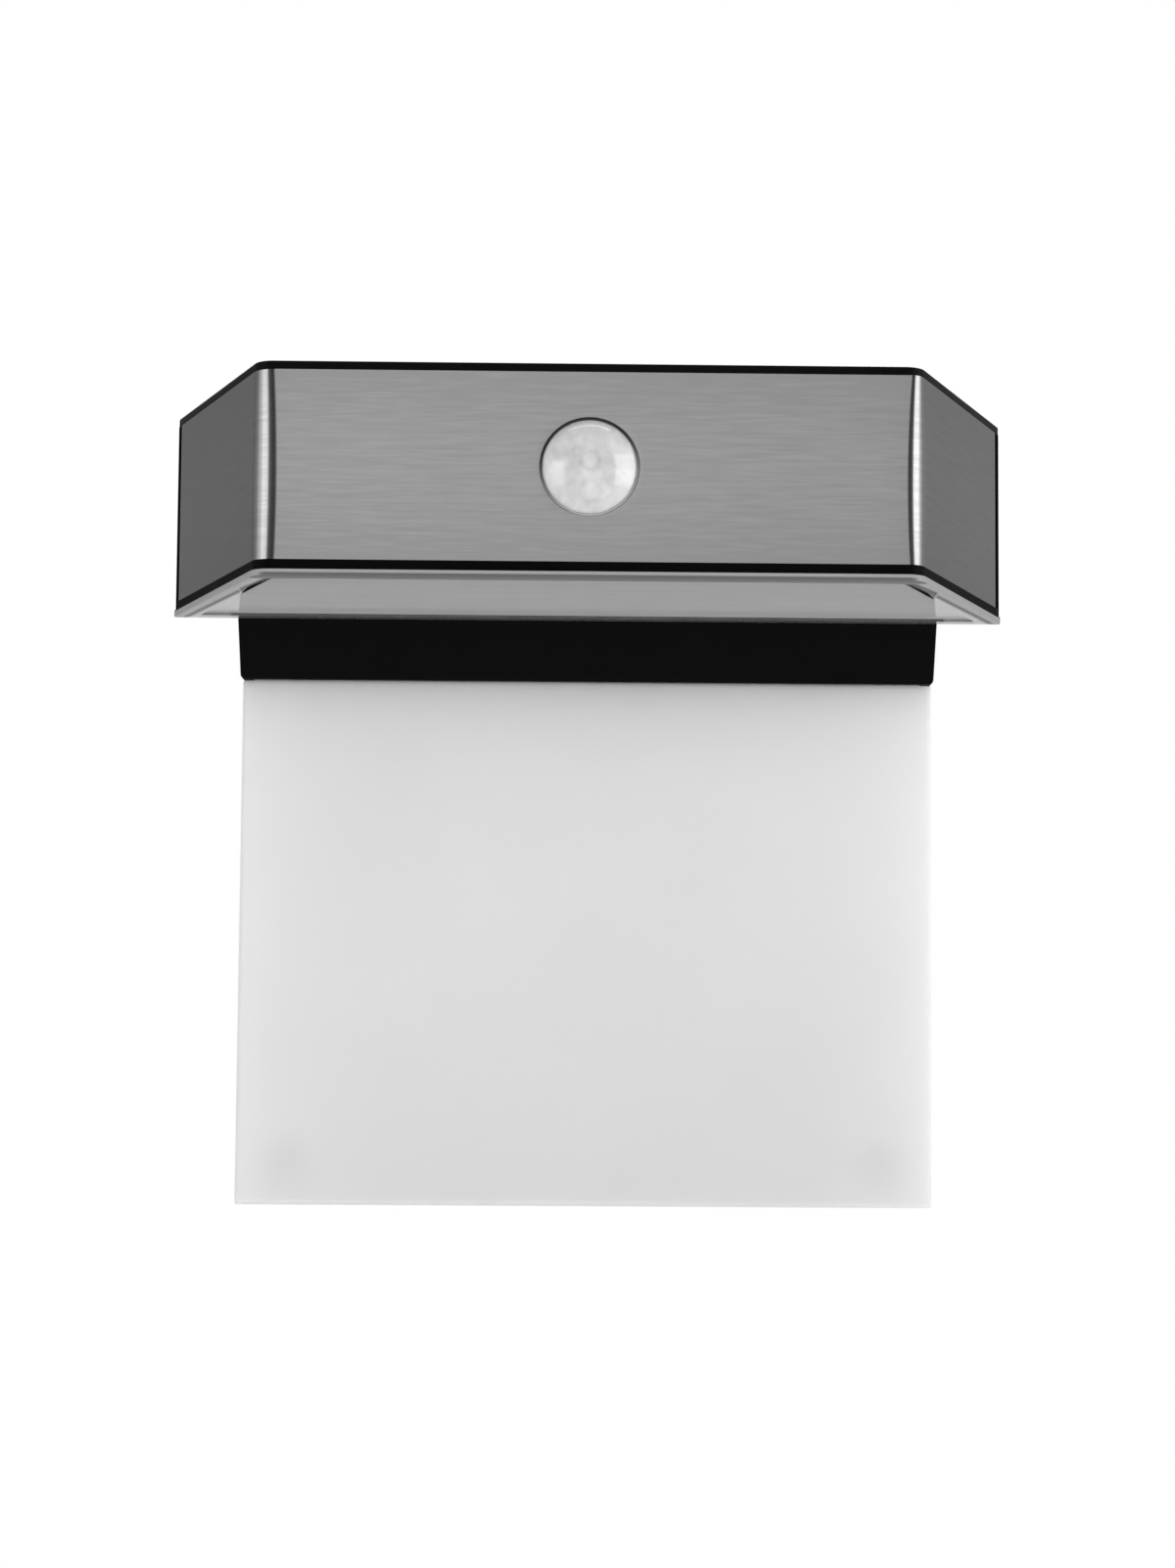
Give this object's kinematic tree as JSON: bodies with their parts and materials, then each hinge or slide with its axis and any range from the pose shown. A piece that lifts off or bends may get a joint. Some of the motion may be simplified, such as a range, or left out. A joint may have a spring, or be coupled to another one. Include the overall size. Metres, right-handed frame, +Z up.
{
  "type": "solar outdoor wall light",
  "caption": "Wall light with a steel-clad solar head, round motion sensor lens, clear base plate, tilting wall bracket and a bare frosted plate in a black bar.",
  "frame": {"origin": "on the wall plane, midway between the two wall screw holes of the bracket", "axes": "+X to the right seen from the front, +Y into the wall, +Z up; the head's steel front faces -Y"},
  "size_m": [0.1944, 0.093, 0.1838],
  "materials": {
    "black_plastic": "satin black moulded plastic",
    "black_coated_steel": "black powder coat on pressed steel",
    "brushed_stainless": "stainless sheet brushed along its length",
    "frosted_acrylic": "satin frosted acrylic with polished bevels",
    "clear_acrylic": "clear, slightly milky acrylic",
    "milky_lens": "milky polyethylene with faint lens facets",
    "solar_glass": "clear cover glass",
    "solar_cell": "dark blue black silicon strips",
    "white_sheet": "white plastic sheet",
    "circuit_board": "green solder mask",
    "led_phosphor": "yellow phosphor window in a white body",
    "zinc_steel": "bright zinc plate",
    "nickel": "nickel plate",
    "battery_sleeve": "plain green shrink sleeve",
    "component_black": "black epoxy",
    "black_rubber": "soft black rubber",
    "clear_rubber": "clear soft pad",
    "button_grey": "dark grey soft button"
  },
  "bodies": {
    "wall_unit": {"wall_bracket": "black_coated_steel", "panel_holder": "black_plastic", "light_panel": "frosted_acrylic", "panel_clamp": "black_plastic", "clamp_screws": "zinc_steel", "edge_led_board": "circuit_board", "edge_leds": "led_phosphor", "holder_screws": "zinc_steel", "wall_pads": "clear_rubber", "tilt_bolt": "zinc_steel", "tilt_nut": "zinc_steel", "friction_washers": "zinc_steel"},
    "head": {"chassis": "black_plastic", "steel_shroud": "brushed_stainless", "top_frame": "black_plastic", "frame_screws": "zinc_steel", "glass_gasket": "black_rubber", "solar_glass": "solar_glass", "solar_cells": "solar_cell", "solar_backing": "white_sheet", "base_plate": "clear_acrylic", "base_seal": "black_rubber", "reflector_tray": "white_sheet", "downlight_board": "circuit_board", "downlight_leds": "led_phosphor", "pir_lens": "milky_lens", "lens_retainer": "black_plastic", "sensor_carrier": "black_plastic", "carrier_screws": "zinc_steel", "sensor_board": "circuit_board", "pir_sensor": "nickel", "battery_holder": "black_plastic", "battery_cells": "battery_sleeve", "battery_contacts": "nickel", "battery_seal": "black_rubber", "battery_cover": "black_plastic", "battery_cover_screws": "zinc_steel", "control_board": "circuit_board", "board_components": "component_black", "board_screws": "zinc_steel", "mode_switch": "component_black"},
    "button": {"mode_button": "button_grey", "switch_plunger": "button_grey"}
  },
  "joints": [
    {"name": "head_tilt", "type": "hinge", "parent": "wall_unit", "child": "head", "pos_m": [0, -0.031, -0.01], "axis": [1, 0, 0], "range_deg": [0, 20]},
    {"name": "mode_press", "type": "slide", "parent": "head", "child": "button", "axis": [0, -1, 0], "range_m": [0, 0.001], "stiffness_N_per_m": 1500, "springref_m": -0.0005}
  ]
}
